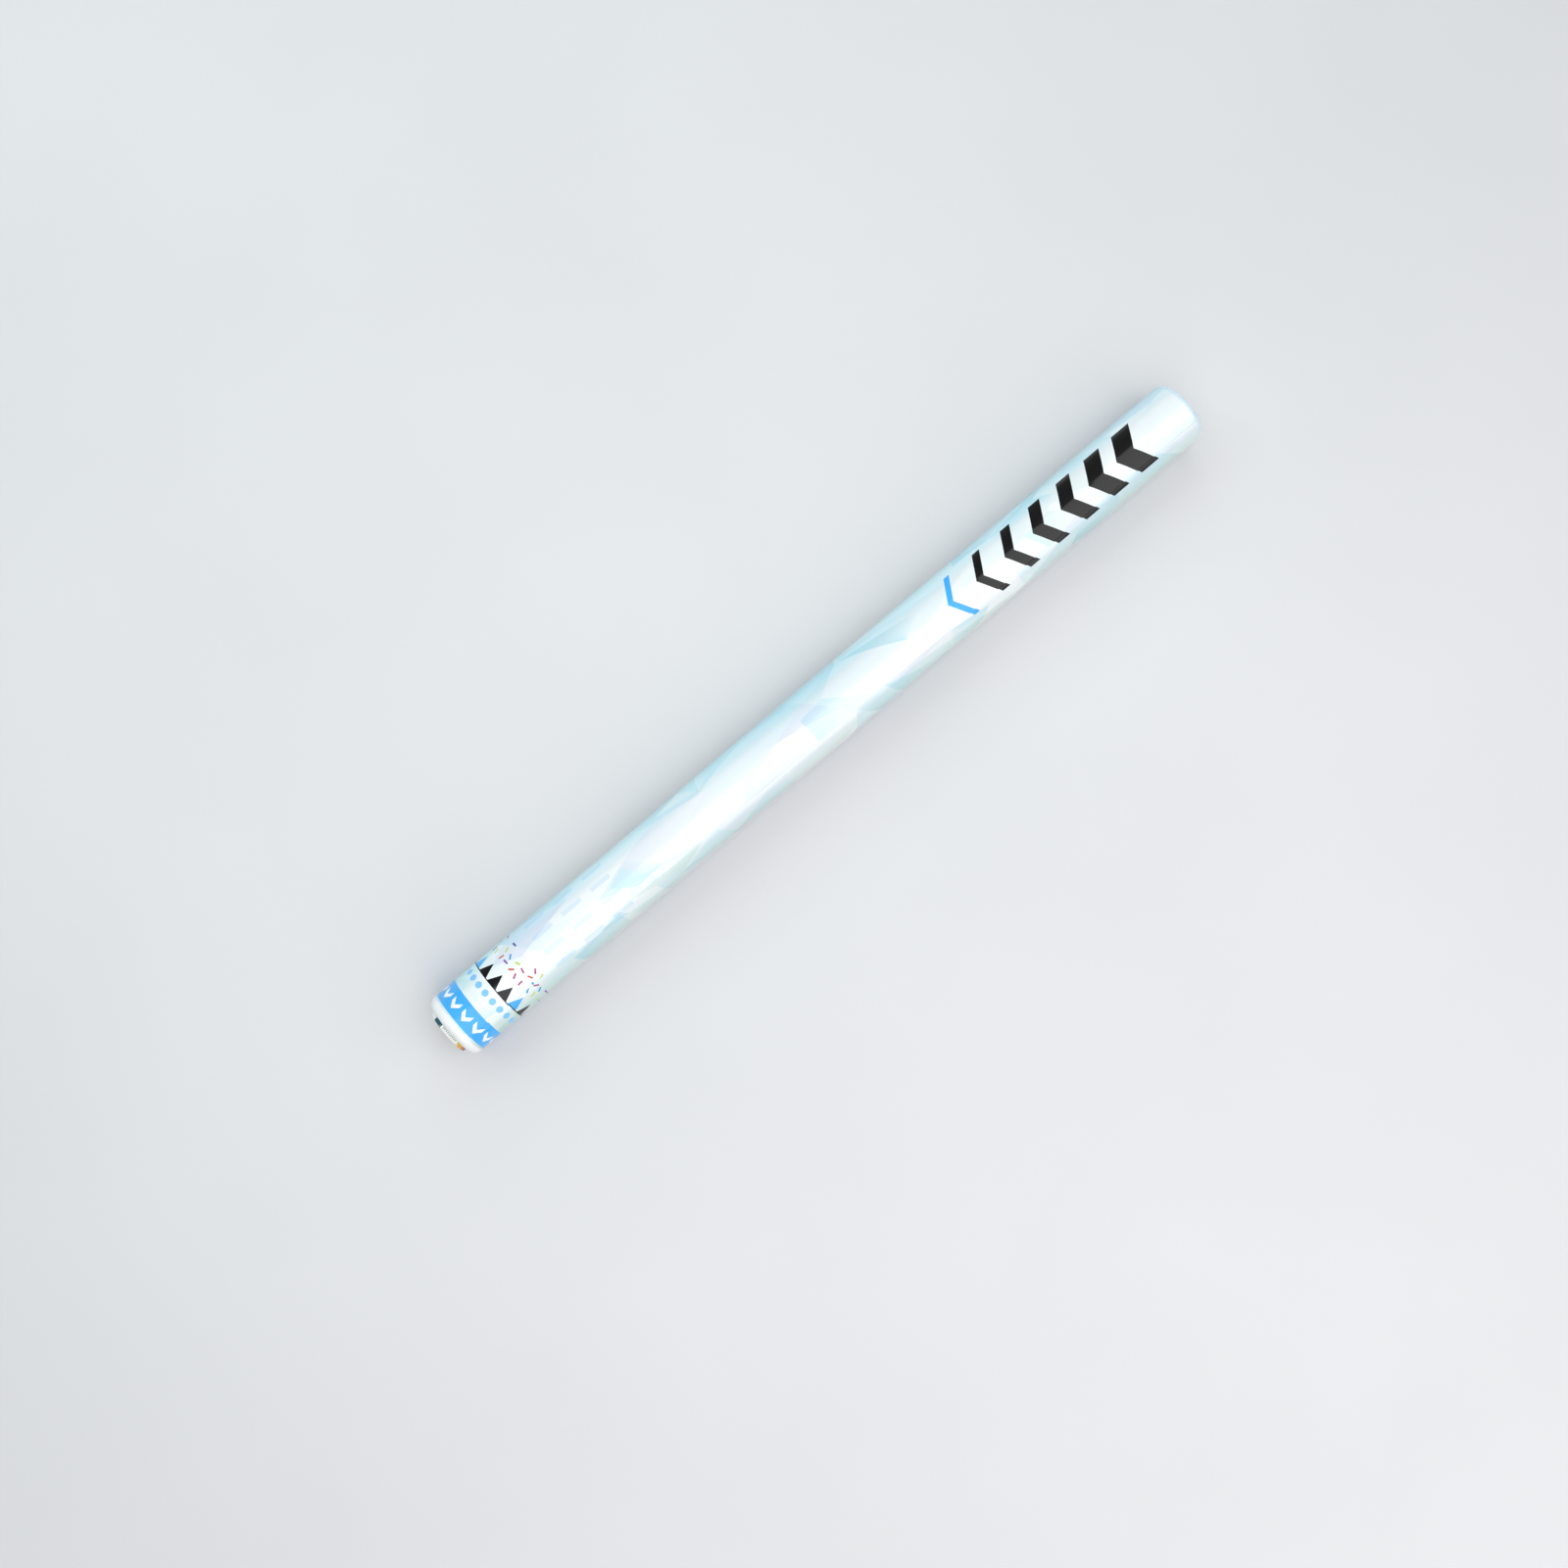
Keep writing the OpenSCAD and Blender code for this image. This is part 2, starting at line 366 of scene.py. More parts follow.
def buntingRing(tree, along, underWay, colour):  # a line with pennants, every fourth one blue
    look = filmPrint
    line, top, tip = look["bunting"]
    across = calc(tree, "ABSOLUTE", fromMiddle(tree, underWay, look["pennants"]))
    room = calc(tree, "MULTIPLY", calc(tree, "SUBTRACT", tip, along), look["pennantHalf"] / (tip - top))
    pennant = allOf(tree, within(tree, along, top, tip), less(tree, across, room))
    colour = paint(tree, colour, look["ink"], anyOf(tree, pennant, within(tree, along, line, top)))
    number = calc(tree, "DIVIDE", underWay, girth / look["pennants"])
    blue = less(tree, calc(tree, "FLOORED_MODULO", number, look["bluePennant"]), 1)
    return paint(tree, colour, look["bandBlue"], allOf(tree, pennant, blue)), pennant


def dotRing(tree, along, underWay, colour):
    look = filmPrint
    across = fromMiddle(tree, underWay, look["dots"])
    reach = vectorCalc(tree, "LENGTH", joined(tree, across, calc(tree, "SUBTRACT", along, look["dotRing"])))
    dot = less(tree, reach, look["dotSize"])
    return paint(tree, colour, look["paleBlue"], dot), dot


def arrowBand(tree, along, underWay, colour):  # blue, with white marks that point to the mouth
    look = filmPrint
    band = within(tree, along, *look["band"])
    across = calc(tree, "ABSOLUTE", fromMiddle(tree, underWay, look["bandMarks"]))
    behind = calc(tree, "SUBTRACT", calc(tree, "SUBTRACT", along, look["markPlace"]), across)
    mark = allOf(tree, within(tree, behind, 0, look["markStroke"]), less(tree, across, look["markReach"]))
    colour = paint(tree, colour, look["bandBlue"], band)
    return paint(tree, colour, look["white"], mark), band


def boldChevrons(tree, along, around, colour):  # they grow towards the base, and the first one is blue
    look = filmPrint
    start, count, pitch = look["chevrons"]
    thin, bold = look["chevronStroke"]
    side = calc(tree, "ABSOLUTE", calc(tree, "SUBTRACT", around, look["chevronMiddle"]))
    slant = calc(tree, "MULTIPLY", side, look["chevronSlope"])
    swept = calc(tree, "SUBTRACT", calc(tree, "SUBTRACT", along, start), slant)
    which = calc(tree, "FLOOR", calc(tree, "DIVIDE", swept, pitch))
    stroke = calc(tree, "MULTIPLY_ADD", which, (bold - thin) / (count - 1), thin)
    chevron = allOf(tree, within(tree, swept, 0, count * pitch),
                    less(tree, calc(tree, "FLOORED_MODULO", swept, pitch), stroke),
                    less(tree, side, look["chevronHalf"]))
    colour = paint(tree, colour, look["ink"], chevron)
    blue = allOf(tree, chevron, less(tree, which, 0.5))
    return paint(tree, colour, look["bandBlue"], blue), chevron


def filmMaterial():
    look = filmPrint
    material, tree, shader = newMaterial("pearlyPrintedFilm", look["surface"])
    place = nodeIn(tree, "ShaderNodeAttribute", attribute_name="printPlace").outputs["Vector"]
    along, sheet = parts(tree, place)[:2]
    around = calc(tree, "WRAP", sheet, girth / 2, -girth / 2)
    underWay = calc(tree, "ADD", around, girth / 2)  # from the line under the stick

    # the pearl drifts from teal to rose round the stick, under the broken ice: colours painted for one view,
    # partly the film's own pearly tint and partly painted sheen, with painted shade deepening the teal near
    # the -Y edge
    colour = steps(tree, calc(tree, "DIVIDE", underWay, girth), named(look, "pearl"), "LINEAR")
    colour, lean = iceFacets(tree, place, colour)
    colour, lean = iceFans(tree, place, colour, lean)
    normal = nodeIn(tree, "ShaderNodeNewGeometry").outputs["Normal"]
    tilted = vectorCalc(tree, "MULTIPLY_ADD", lean, (look["shardTilt"],) * 3, normal)
    facet = vectorCalc(tree, "NORMALIZE", tilted)

    # print
    colour = faintDashes(tree, along, around, underWay, colour)
    colour, fleck = paperFlecks(tree, place, colour)
    colour, pennant = buntingRing(tree, along, underWay, colour)
    colour, dot = dotRing(tree, along, underWay, colour)
    colour, band = arrowBand(tree, along, underWay, colour)
    colour, chevron = boldChevrons(tree, along, around, colour)
    ink = anyOf(tree, fleck, pennant, dot, band, chevron)
    pearl = calc(tree, "MULTIPLY_ADD", ink, -look["pearlMetal"], look["pearlMetal"])  # ink hides the pearl
    feed(tree, shader, {"Base Color": colour, "Metallic": pearl, "Normal": facet, "Coat Normal": facet})
    return material


def makeFilm():  # one sheet with an outer and an inner face, which laps over its own start
    size = filmWrap
    first, rampTurn, liftTurn = (math.radians(size[key]) for key in ("edgeAngle", "ramp", "liftTurn"))
    lapTurn = size["lap"] / stickRadius
    whole = 2 * math.pi + lapTurn
    rows, columns = size["alongSteps"], size["aroundSteps"]
    points, places, faces = [], [], []
    for i in range(rows + 1):
        x = filmHigh.x + (filmLow.x - filmHigh.x) * i / rows
        curl = size["lift"] * (0.5 + noise.noise((x * size["liftWaves"], *size["liftSeed"])))
        for face in (0, 1):
            for j in range(columns + 1):
                turn = whole * j / columns
                down = min(max((turn - lapTurn) / rampTurn, 0), 1)
                over = (size["thickness"] + size["gap"]) * (1 - down * down * (3 - 2 * down))
                over += curl * max(0, 1 - turn / liftTurn)
                radius = stickRadius + over - face * size["thickness"]
                points.append(onStick(x, radius, first + turn))
                along = (filmHigh.x - x) / mm + size["skew"] * turn / whole
                places.append((along, (first + turn - 2 * math.pi) * stickRadius / mm, face))

    def at(i, face, j):
        return (2 * i + face) * (columns + 1) + j

    for i in range(rows):
        for j in range(columns):
            faces.append((at(i, 0, j), at(i, 0, j + 1), at(i + 1, 0, j + 1), at(i + 1, 0, j)))
            faces.append((at(i, 1, j), at(i + 1, 1, j), at(i + 1, 1, j + 1), at(i, 1, j + 1)))
        for j, flip in ((0, 1), (columns, 0)):
            edge = [at(i, 0, j), at(i + 1, 0, j), at(i + 1, 1, j), at(i, 1, j)]
            faces.append(edge if flip else edge[::-1])
    for i, flip in ((0, 0), (rows, 1)):
        for j in range(columns):
            edge = [at(i, 0, j), at(i, 0, j + 1), at(i, 1, j + 1), at(i, 1, j)]
            faces.append(edge if flip else edge[::-1])
    mesh = bpy.data.meshes.new("filmWrap")
    mesh.from_pydata(points, [], faces)
    mesh.validate()
    attribute = mesh.attributes.new("printPlace", "FLOAT_VECTOR", "POINT")
    attribute.data.foreach_set("vector", [value for place in places for value in place])
    finishPiece("filmWrap", mesh, filmMaterial(), "tube", "film_wrap")


# paper tube

paperTube = {"wall": 1.1 * mm, "plies": 4, "notch": 0.05 * mm, "edge": 0.12 * mm, "segments": 144, "spans": 8}
boreRadius = tubeRadius - paperTube["wall"]

boardLook = {
    "surface": {"Roughness": 0.82},
    "kraft": flat(186, 154, 116), "dark": flat(150, 118, 84), "pale": flat(206, 178, 142),
    "tones": ((0.3, "dark"), (0.5, "kraft"), (0.68, "pale")),
    "fibreStretch": (160, 900, 900), "fibre": (1, 6, 0.65), "fibreShare": 0.6, "fibreHeight": 0.5,
    "blotch": (90, 3),  # noise scale, detail
    "windPitch": 48 * mm, "seam": 0.012, "seamStrength": 0.8,
    "bump": (0.5, 0.1 * mm),  # strength, distance
}


def boardMaterial():
    look = boardLook
    material, tree, shader = newMaterial("kraftBoard", look["surface"])
    place = objectPlace(tree)
    drawnOut = nodeIn(tree, "ShaderNodeMapping", {0: place, "Scale": look["fibreStretch"]}).outputs[0]
    fibre = grain(tree, drawnOut, *look["fibre"])
    blotch = grain(tree, place, *look["blotch"])
    share = look["fibreShare"]
    tone = calc(tree, "MULTIPLY_ADD", blotch, 1 - share, calc(tree, "MULTIPLY", fibre, share))
    colour = steps(tree, tone, named(look, "tones"), "LINEAR")

    # seam of the spiral winding
    x, y, z = parts(tree, place)
    turn = calc(tree, "DIVIDE", calc(tree, "ARCTAN2", y, calc(tree, "SUBTRACT", z, axisZ)), 2 * math.pi)
    wind = calc(tree, "FRACT", calc(tree, "ADD", turn, calc(tree, "MULTIPLY", x, 1 / look["windPitch"])))
    seam = less(tree, wind, look["seam"])
    colour = paint(tree, colour, look["dark"], calc(tree, "MULTIPLY", seam, look["seamStrength"]))
    height = calc(tree, "SUBTRACT", calc(tree, "MULTIPLY", fibre, look["fibreHeight"]), seam)
    feed(tree, shader, {"Base Color": colour, "Normal": bumped(tree, height, *look["bump"])})
    return material


def makeTube():
    size = paperTube
    edge, notch, spans = size["edge"], size["notch"], size["spans"]
    ply = size["wall"] / size["plies"]
    low, high = tubeLow.x, tubeHigh.x
    mouth = [(high - edge, boreRadius), (high, boreRadius + edge)]
    for k in range(1, size["plies"]):  # a small notch between the plies
        radius = boreRadius + k * ply
        mouth += [(high, radius - notch), (high - notch, radius), (high, radius + notch)]
    mouth += [(high, tubeRadius - edge), (high - edge, tubeRadius)]
    base = [(low + high - x, radius) for x, radius in reversed(mouth)]
    length = high - low
    outer = [(high - length * i / spans, tubeRadius) for i in range(1, spans)]
    inner = [(low + length * i / spans, boreRadius) for i in range(1, spans)]
    build = bmesh.new()
    lathe(build, mouth + outer + base + inner, size["segments"], closed=True)
    mesh = meshFrom(build, "paperTube")
    finishPiece("paperTube", mesh, boardMaterial(), "tube", "paper_tube")


# moulded plugs

plugShape = {
    "segments": 160, "roundSteps": 14, "edge": 0.15 * mm, "seat": 0.02 * mm, "endWall": 1.5 * mm,
    "skirtGap": 0.45 * mm, "skirtDraft": 0.35 * mm, "skirtWall": 1.4 * mm,
    "fins": 3, "finHeight": 1.4 * mm, "finGap": 0.05 * mm, "finTip": 0.12 * mm,
    "web": 0.9 * mm, "webSetback": 3 * mm, "webSink": 0.45 * mm,
}
baseShape = {"round": 2 * mm, "dishRadius": 6.5 * mm, "dishDepth": 0.5 * mm,
             "gate": 0.7 * mm, "gateHeight": 0.15 * mm}
closureShape = {"round": 2.8 * mm, "headHeight": 1.6 * mm, "headRound": 0.5 * mm, "headSteps": 6,
                "headWall": 1.8 * mm, "fillet": 0.15 * mm, "filletSteps": 4}
sealThickness = 0.12 * mm
headRadius = (sealHigh.z - sealLow.z) / 2 - sealThickness

plasticLook = {
    "surface": {"Subsurface Weight": 0.12, "Subsurface Radius": (0.0012, 0.0012, 0.0014),
                "Subsurface Scale": 1, "Coat Weight": 0.4, "Coat Roughness": 0.12},
    "base": flat(218, 236, 249), "baseShade": flat(206, 229, 246),
    "closure": flat(248, 250, 251), "closureShade": flat(241, 245, 247),
    "cloud": (220, 3), "cloudRange": (0.32, 0.62), "roughness": (0.24, 0.4),
    "grain": (2600, 2), "bump": (0.12, 0.05 * mm),
}


def plasticMaterial(plug):
    look = plasticLook
    material, tree, shader = newMaterial(plug + "Plastic", look["surface"])
    place = objectPlace(tree)
    cloud = grain(tree, place, *look["cloud"])
    low, high = look["cloudRange"]
    colour = steps(tree, cloud, [(low, look[plug + "Shade"]), (high, look[plug])], "LINEAR")
    rough = mapped(tree, cloud, (0, 1), look["roughness"])
    bump = bumped(tree, grain(tree, place, *look["grain"]), *look["bump"])
    feed(tree, shader, {"Base Color": colour, "Roughness": rough, "Normal": bump})
    return material


def skirtProfile(depth):  # (depth below the rim, radius), from the root to the tip and round into the hollow
    size = plugShape
    edge, blunt = size["edge"], size["finTip"]
    root = boreRadius - size["skirtGap"]
    tip = root - size["skirtDraft"]
    hollow = tip - size["skirtWall"]
    finRadius = boreRadius - size["finGap"]
    pitch = depth / (size["fins"] + 1)

    def wall(d):
        return root - size["skirtDraft"] * d / depth

    points = [(0, root)]
    for k in range(1, size["fins"] + 1):
        top = k * pitch - size["finHeight"] / 2
        foot = top + size["finHeight"]
        points += [(top, wall(top)), (top, finRadius - blunt), (top + blunt / 2, finRadius)]
        points += [(top + blunt * 1.5, finRadius), (foot, wall(foot))]
    points += [(depth - edge, tip), (depth, tip - edge), (depth, hollow + edge), (depth - edge, hollow)]
    return points, hollow


def plugOutside(face, rim, inward, rounding, depth):  # flange and skirt; inward is 1 or -1 along X
    size = plugShape
    seat = rim - inward * size["seat"]
    skirt, hollow = skirtProfile(depth)
    centre = (face + inward * rounding, stickRadius - rounding)
    points = arc(centre, rounding, 90 + 90 * inward, 90, size["roundSteps"])
    points += [(seat - inward * size["edge"], stickRadius), (seat, stickRadius - size["edge"])]
    points.append((seat, boreRadius - size["skirtGap"]))
    points += [(rim + inward * d, radius) for d, radius in skirt]
    return points, hollow


def addWebs(build, start, end, reach):  # crossed webs as one plus-shaped bar
    half = plugShape["web"] / 2
    plus = [(half, half), (half, reach), (-half, reach), (-half, half), (-reach, half), (-reach, -half),
            (-half, -half), (-half, -reach), (half, -reach), (half, -half), (reach, -half), (reach, half)]
    caps = [[build.verts.new((x, y, axisZ + z)) for y, z in plus] for x in (start, end)]
    for i in range(len(plus)):
        j = (i + 1) % len(plus)
        build.faces.new((caps[0][i], caps[0][j], caps[1][j], caps[1][i]))
    for cap in caps:
        build.faces.new(cap)


def makeBasePlug():
    size, shape = plugShape, baseShape
    face, rim, end = baseLow.x, tubeLow.x, baseHigh.x
    edge, dish, gate = size["edge"], shape["dishRadius"], shape["gate"]
    sunk = face + shape["dishDepth"]
    nub = sunk - shape["gateHeight"]  # mark that the mould's gate leaves
    profile = [(nub, 0), (nub, gate - edge), (nub + edge / 2, gate), (sunk, gate)]
    profile += [(sunk, dish - 2 * edge), (sunk - edge, dish - edge), (face + edge, dish), (face, dish + edge)]
    outside, hollow = plugOutside(face, rim, 1, shape["round"], end - rim)
    roof = face + size["endWall"]
    profile += outside + [(roof + edge, hollow), (roof, hollow - edge), (roof, 0)]
    build = bmesh.new()
    lathe(build, profile, size["segments"])
    addWebs(build, roof - size["webSink"], end - size["webSetback"], hollow + edge)
    mesh = meshFrom(build, "basePlug")
    finishPiece("basePlug", mesh, plasticMaterial("base"), "tube", "base_plug")


def makeClosurePlug():
    size, shape = plugShape, closureShape
    top, rim, end = closureHigh.x, tubeHigh.x, closureLow.x
    face = top - shape["headHeight"]
    edge, turnIn, fillet = size["edge"], shape["headRound"], shape["fillet"]
    profile = [(top, 0)] + arc((top - turnIn, headRadius - turnIn), turnIn, 0, 90, shape["headSteps"])
    profile += arc((face + fillet, headRadius + fillet), fillet, 270, 180, shape["filletSteps"])
    outside, hollow = plugOutside(face, rim, -1, shape["round"], rim - end)
    roof, crown = face - size["endWall"], top - size["endWall"]
    step = min(hollow, headRadius - shape["headWall"])
    profile += outside + [(roof - edge, hollow), (roof, hollow - edge)]
    profile += [(roof, step), (crown, step), (crown, 0)]
    build = bmesh.new()
    lathe(build, profile, size["segments"])
    addWebs(build, roof + edge, end + size["webSetback"], hollow + edge)
    addWebs(build, crown + size["webSink"], roof + edge, step + edge)  # in the hollow of the head
    mesh = meshFrom(build, "closurePlug")
    finishPiece("closurePlug", mesh, plasticMaterial("closure"), "cap", "closure_plug")


# printed seal on the closure's head

closureSeal = {
    "gap": 0.01 * mm, "segments": 264, "topRings": 8, "foldRings": 6, "crease": 50,
    "pleats": 36, "pleat": 0.07 * mm, "pleatDrift": 2, "pleatSharp": 3,
    "ragged": 0.08 * mm, "raggedWaves": 6, "raggedSeed": 3,
}

sealLook = {
    "surface": {"Roughness": 0.42, "Coat Weight": 0.25, "Coat Roughness": 0.2},
    "teal": flat(28, 92, 100), "green": flat(40, 76, 60), "paper": flat(244, 245, 241),
    "yellow": flat(226, 178, 44), "orange": flat(214, 120, 36), "blue": flat(60, 160, 240),
    "tick": flat(138, 150, 144),
    "blocks": (  # share of the way round
        (0, "yellow"), (0.07, "green"), (0.15, "paper"), (0.2, "orange"), (0.25, "paper"),
        (0.365, "teal"), (0.44, "paper"), (0.595, "yellow"), (0.65, "orange"), (0.69, "green"),
        (0.76, "blue"), (0.82, "paper"), (0.9, "teal")),
    "tickBlocks": ((0.45, 0.585), (0.83, 0.89)), "ticks": 72, "tickShare": 0.45,
    "tickFace": (2.6 * mm, 0.9 * mm), "tickFold": 0.75 * mm,
    "hub": 2.5 * mm, "hubRing": 2.9 * mm,
    "wear": (900, 5), "wornBand": 0.9 * mm, "wornAbove": 0.62, "wornStrength": 0.45,
    "bump": (0.2, 0.05 * mm),
}


def sealMaterial():
    look = sealLook
    material, tree, shader = newMaterial("sealPrint", look["surface"])
    place = objectPlace(tree)
    x, y, z = parts(tree, place)
    up = calc(tree, "SUBTRACT", z, axisZ)
    turn = calc(tree, "MULTIPLY_ADD", calc(tree, "ARCTAN2", y, up), 0.5 / math.pi, 0.5)
    wide = vectorCalc(tree, "LENGTH", joined(tree, 0, y, up))
    colour = steps(tree, turn, named(look, "blocks"))

    # grey ticks on two of the paper blocks, on the face and down the fold
    blocks = anyOf(tree, *[within(tree, turn, *block) for block in look["tickBlocks"]])
    row = calc(tree, "FRACT", calc(tree, "MULTIPLY", turn, look["ticks"]))
    outer, inner = look["tickFace"]
    ring = within(tree, wide, headRadius - outer, headRadius - inner)
    fold = less(tree, x, sealLow.x + look["tickFold"])
    ticks = allOf(tree, blocks, less(tree, row, look["tickShare"]), anyOf(tree, ring, fold))
    colour = paint(tree, colour, look["tick"], ticks)
    colour = paint(tree, colour, look["paper"], less(tree, wide, look["hubRing"]))
    colour = paint(tree, colour, look["teal"], less(tree, wide, look["hub"]))

    # worn along the edge
    wear = grain(tree, place, *look["wear"])
    rim = more(tree, wide, headRadius - look["wornBand"])
    worn = allOf(tree, more(tree, wear, look["wornAbove"]), rim)
    colour = paint(tree, colour, look["paper"], calc(tree, "MULTIPLY", worn, look["wornStrength"]))
    feed(tree, shader, {"Base Color": colour, "Normal": bumped(tree, wear, *look["bump"])})
    return material


def makeSeal():
    size = closureSeal
    turnIn, top = closureShape["headRound"], closureHigh.x
    flatRadius, bend = headRadius - turnIn, top - turnIn
    side = bend - sealLow.x

    def skin(lift):  # profile of one face: across the top, round the edge, down the side
        rings, folds = size["topRings"], size["foldRings"]
        points = [(top + lift, flatRadius * i / rings) for i in range(rings)]
        points += arc((bend, flatRadius), turnIn + lift, 0, 90, closureShape["headSteps"])
        return points + [(bend - side * i / folds, headRadius + lift) for i in range(1, folds + 1)]

    build = bmesh.new()
    lathe(build, skin(sealThickness) + skin(size["gap"])[::-1], size["segments"])
    for vert in build.verts:  # the rim is folded, so it gathers in small pleats
        out = Vector((0, vert.co.y, vert.co.z - axisZ))
        drop = (bend - vert.co.x) / side
        if drop > 0 and out.length > flatRadius:
            angle = math.atan2(out.y, out.z)
            way = Vector((math.cos(angle), math.sin(angle), 0))
            wave = 0.5 + 0.5 * math.cos(size["pleats"] * angle + size["pleatDrift"] * noise.noise(way))
            vert.co += out.normalized() * size["pleat"] * drop * wave ** size["pleatSharp"]
            torn = noise.noise(way * size["raggedWaves"] + Vector((0, 0, size["raggedSeed"])))
            vert.co.x += size["ragged"] * drop * torn
    mesh = meshFrom(build, "closureSeal")
    finishPiece("closureSeal", mesh, sealMaterial(), "cap", "closure_seal", size["crease"])


# tissue slips

tissueSlips = {
    "stacks": 6, "sheaves": 4, "slips": 30, "paper": 0.05 * mm, "trim": 0.1 * mm, "cuts": 5,
    "shuffle": 0.25 * mm, "sideways": 0.4, "yaw": 0.4, "seed": 11,
    "bulge": (0.05 * mm, 0.2 * mm, 0.5 * mm, 0.9 * mm),  # from the lowest sheaf up
}

tissueLook = {
    "surface": {"Roughness": 0.78, "Sheen Weight": 0.25, "Sheen Roughness": 0.5},
    "deep": flat(66, 30, 104), "purple": flat(92, 46, 138), "bright": flat(124, 62, 166),
    "tones": ((0.1, "deep"), (0.5, "purple"), (0.95, "bright")),
    "fibre": (1500, 5), "fibreShare": 0.6, "bump": (0.35, 0.05 * mm),
}


def tissueMaterial():
    look = tissueLook
    material, tree, shader = newMaterial("purpleTissue", look["surface"])
    shade = nodeIn(tree, "ShaderNodeAttribute", attribute_name="slipShade").outputs["Fac"]
    fibre = grain(tree, objectPlace(tree), *look["fibre"])
    tone = calc(tree, "MULTIPLY_ADD", calc(tree, "SUBTRACT", fibre, 0.5), look["fibreShare"], shade)
    colour = steps(tree, tone, named(look, "tones"), "LINEAR")
    feed(tree, shader, {"Base Color": colour, "Normal": bumped(tree, fibre, *look["bump"])})
    return material


def sheafTree(material):  # slips on a line of points, shuffled and then made real
    tree = bpy.data.node_groups.new("sheafOfSlips", "GeometryNodeTree")
    sockets = {}
    for kind, names in (("Float", ("Length", "Width", "Paper", "Pitch", "Shuffle", "Yaw", "Bulge")),
                        ("Int", ("Count", "Seed")), ("Vector", ("Start",))):
        for name in names:
            socket = tree.interface.new_socket(name, in_out="INPUT", socket_type="NodeSocket" + kind)
            sockets[name] = socket.identifier
    tree.interface.new_socket("Geometry", in_out="OUTPUT", socket_type="NodeSocketGeometry")
    given = nodeIn(tree, "NodeGroupInput").outputs

    # one slip, bent a little across its width
    cutSize = joined(tree, given["Length"], given["Width"], given["Paper"])
    cuts = tissueSlips["cuts"]
    inputs = {"Size": cutSize, "Vertices X": cuts, "Vertices Y": cuts, "Vertices Z": 2}
    slip = nodeIn(tree, "GeometryNodeMeshCube", inputs).outputs[0]
    y = parts(tree, nodeIn(tree, "GeometryNodeInputPosition").outputs[0])[1]
    share = calc(tree, "DIVIDE", calc(tree, "MULTIPLY", y, 2), given["Width"])
    crown = calc(tree, "MULTIPLY", calc(tree, "SUBTRACT", 1, calc(tree, "POWER", share, 2)), given["Bulge"])
    inputs = {"Geometry": slip, "Offset": joined(tree, z=crown)}
    slip = nodeIn(tree, "GeometryNodeSetPosition", inputs).outputs[0]

    # the pile of points, each moved and turned by chance
    climb = joined(tree, z=given["Pitch"])
    inputs = {"Count": given["Count"], "Start Location": given["Start"], "Offset": climb}
    pile = nodeIn(tree, "GeometryNodeMeshLine", inputs, mode="OFFSET").outputs[0]
    sideways = calc(tree, "MULTIPLY", given["Shuffle"], tissueSlips["sideways"])
    most = joined(tree, given["Shuffle"], sideways)
    inputs = {0: vectorCalc(tree, "MULTIPLY", most, (-1, -1, -1)), 1: most, "Seed": given["Seed"]}
    moved = nodeIn(tree, "FunctionNodeRandomValue", inputs, data_type="FLOAT_VECTOR").outputs[0]
    pile = nodeIn(tree, "GeometryNodeSetPosition", {"Geometry": pile, "Offset": moved}).outputs[0]
    inputs = {2: calc(tree, "MULTIPLY", given["Yaw"], -1), 3: given["Yaw"],
              "Seed": calc(tree, "ADD", given["Seed"], 1)}
    yaw = nodeIn(tree, "FunctionNodeRandomValue", inputs, data_type="FLOAT").outputs[1]
    inputs = {"Points": pile, "Instance": slip, "Rotation": joined(tree, z=yaw)}
    slips = nodeIn(tree, "GeometryNodeInstanceOnPoints", inputs).outputs[0]

    # a shade for each slip, and the finish
    inputs = {"Seed": calc(tree, "ADD", given["Seed"], 2)}
    shade = nodeIn(tree, "FunctionNodeRandomValue", inputs, data_type="FLOAT").outputs[1]
    inputs = {"Geometry": slips, "Name": "slipShade", "Value": shade}
    shaded = nodeIn(tree, "GeometryNodeStoreNamedAttribute", inputs, data_type="FLOAT", domain="INSTANCE")
    real = nodeIn(tree, "GeometryNodeRealizeInstances", {"Geometry": shaded.outputs[0]}).outputs[0]
    dyed = nodeIn(tree, "GeometryNodeSetMaterial", {"Geometry": real, "Material": material}).outputs[0]
    nodeIn(tree, "NodeGroupOutput", {0: dyed})
    return tree, sockets


def makeSheaf(stack, layer, tree, sockets, material):
    size = tissueSlips
    node = f"confetti_stack_{stack}_sheaf_{layer}"
    low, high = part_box(node)
    values = {
        "Length": high.x - low.x - 2 * size["shuffle"], "Width": high.y - low.y - 2 * size["trim"],
        "Paper": size["paper"], "Count": size["slips"], "Shuffle": size["shuffle"],
        "Pitch": (high.z - low.z - size["paper"]) / (size["slips"] - 1),
        "Yaw": math.radians(size["yaw"]), "Bulge": size["bulge"][layer - 1],
        "Start": ((low.x + high.x) / 2, (low.y + high.y) / 2, low.z + size["paper"] / 2),
        "Seed": size["seed"] + 10 * (stack * size["sheaves"] + layer),
    }
    name = f"confettiStack{stack}Sheaf{layer}"
    carrier = newObject(name + "Carrier", bpy.data.meshes.new(name + "Carrier"))
    modifier = carrier.modifiers.new("slips", "NODES")
    modifier.node_group = tree
    for key, value in values.items():
        modifier[sockets[key]] = value
    depsgraph = bpy.context.evaluated_depsgraph_get()
    mesh = bpy.data.meshes.new_from_object(carrier.evaluated_get(depsgraph))
    carrier.modifiers.remove(modifier)
    bpy.data.objects.remove(carrier)
    finishPiece(name, mesh, material, "load", node)


# stage: pale floor, soft light, camera

